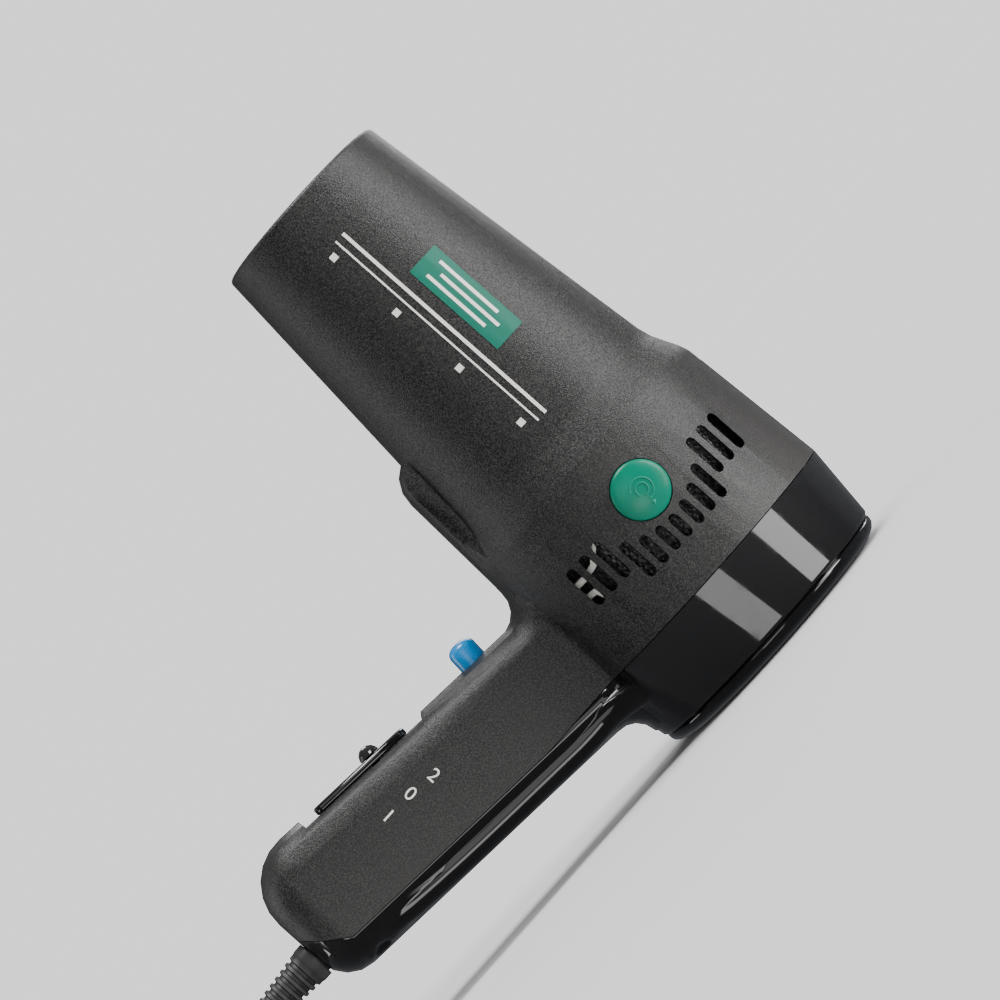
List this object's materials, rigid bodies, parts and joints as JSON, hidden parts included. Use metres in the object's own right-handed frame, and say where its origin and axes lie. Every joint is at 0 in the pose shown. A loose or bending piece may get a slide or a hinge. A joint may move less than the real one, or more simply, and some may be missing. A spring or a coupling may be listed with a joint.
{
  "type": "hair dryer",
  "caption": "Hair dryer with a conical barrel, an angled handle, a slide switch and a cord that winds back into its rear.",
  "frame": {"origin": "centre of the flat rear face, on the barrel's axis", "axes": "+Z along the barrel's axis towards the nozzle, the handle reaches out along -X, and the cord button's side faces -Y"},
  "size_m": [0.4117, 0.1008, 0.2],
  "materials": {
    "matte_shell": "fine matte grain",
    "gloss_shell": "polished black",
    "inner_plastic": "plain black",
    "teal_button": "polished teal",
    "blue_button": "polished sky blue",
    "lead_white": "white insulation",
    "nylon": "natural nylon",
    "cord_black": "black cord sheath",
    "mica": "mica sheet",
    "steel": "plain steel",
    "brass": "plain brass",
    "nichrome": "resistance wire"
  },
  "bodies": {
    "housing": {"front_housing": "matte_shell", "rear_housing": "gloss_shell", "rear_plate": "gloss_shell", "reel_spring": "steel", "contact_block": "mica", "brush_inner": "brass", "brush_outer": "brass", "bulkhead": "inner_plastic", "bulkhead_screw_1": "steel", "bulkhead_screw_2": "steel", "handle_screw_1": "steel", "handle_screw_2": "steel", "handle_screw_3": "steel", "handle_screw_4": "steel", "brake_pin": "steel", "retract_spring": "steel", "lint_screen_left": "inner_plastic", "lint_screen_right": "inner_plastic", "motor_mount": "inner_plastic", "motor": "steel", "heater_sleeve": "mica", "mica_board_long": "mica", "mica_board_cross": "mica", "heater_coil_1": "nichrome", "heater_coil_2": "nichrome", "heater_coil_3": "nichrome", "heater_coil_4": "nichrome", "thermostat": "brass", "thermal_fuse": "steel", "nozzle_grille": "inner_plastic", "handle_chassis": "inner_plastic", "power_switch": "inner_plastic", "switch_bezel": "gloss_shell", "cool_spring": "steel", "cool_switch": "inner_plastic", "motor_lead": "lead_white", "contact_lead": "lead_white", "cord_outlet": "inner_plastic", "cord_run": "cord_black", "cord_free": "cord_black", "plug_body": "inner_plastic", "plug_blade_left": "brass", "plug_blade_right": "brass"},
    "rotor": {"fan": "inner_plastic", "motor_shaft": "steel"},
    "reel": {"cord_reel": "inner_plastic", "reel_winding": "cord_black", "slip_ring_inner": "brass", "slip_ring_outer": "brass"},
    "brake": {"brake_lever": "nylon"},
    "cord_button": {"retract_button": "teal_button"},
    "cool_shot": {"cool_button": "blue_button"},
    "switch_slider": {"switch_knob": "gloss_shell"},
    "test_key": {"test_button": "nylon"},
    "reset_key": {"reset_button": "nylon"}
  },
  "joints": [
    {"name": "fan_spin", "type": "hinge", "parent": "housing", "child": "rotor", "pos_m": [0, 0, 0.085], "axis": [0, 0, 1], "continuous": true},
    {"name": "reel_turn", "type": "hinge", "parent": "housing", "child": "reel", "pos_m": [0, 0, 0.017], "axis": [0, 0, 1], "range_deg": [0, 3240]},
    {"name": "cord_button_press", "type": "slide", "parent": "housing", "child": "cord_button", "axis": [0, 1, 0], "range_m": [0, 0.0025], "stiffness_N_per_m": 400, "deforming": ["retract_spring"]},
    {"name": "brake_swing", "type": "hinge", "parent": "housing", "child": "brake", "pos_m": [0, -0.03, 0.044], "axis": [-1, 0, 0], "range_deg": [0, 7.5]},
    {"name": "cool_shot_press", "type": "slide", "parent": "housing", "child": "cool_shot", "axis": [-0.0872, 0, -0.9962], "range_m": [0, 0.0028], "stiffness_N_per_m": 300, "deforming": ["cool_spring"]},
    {"name": "switch_slide", "type": "slide", "parent": "housing", "child": "switch_slider", "axis": [0.9962, 0, -0.0872], "range_m": [-0.0092, 0.0092]},
    {"name": "test_press", "type": "slide", "parent": "housing", "child": "test_key", "axis": [0, 0, -1], "range_m": [0, 0.001], "stiffness_N_per_m": 500},
    {"name": "reset_press", "type": "slide", "parent": "housing", "child": "reset_key", "axis": [0, 0, -1], "range_m": [0, 0.001], "stiffness_N_per_m": 500}
  ],
  "couplings": [
    {"joint": "brake_swing", "follows": "cord_button_press", "rad_per_m": 52.083}
  ]
}
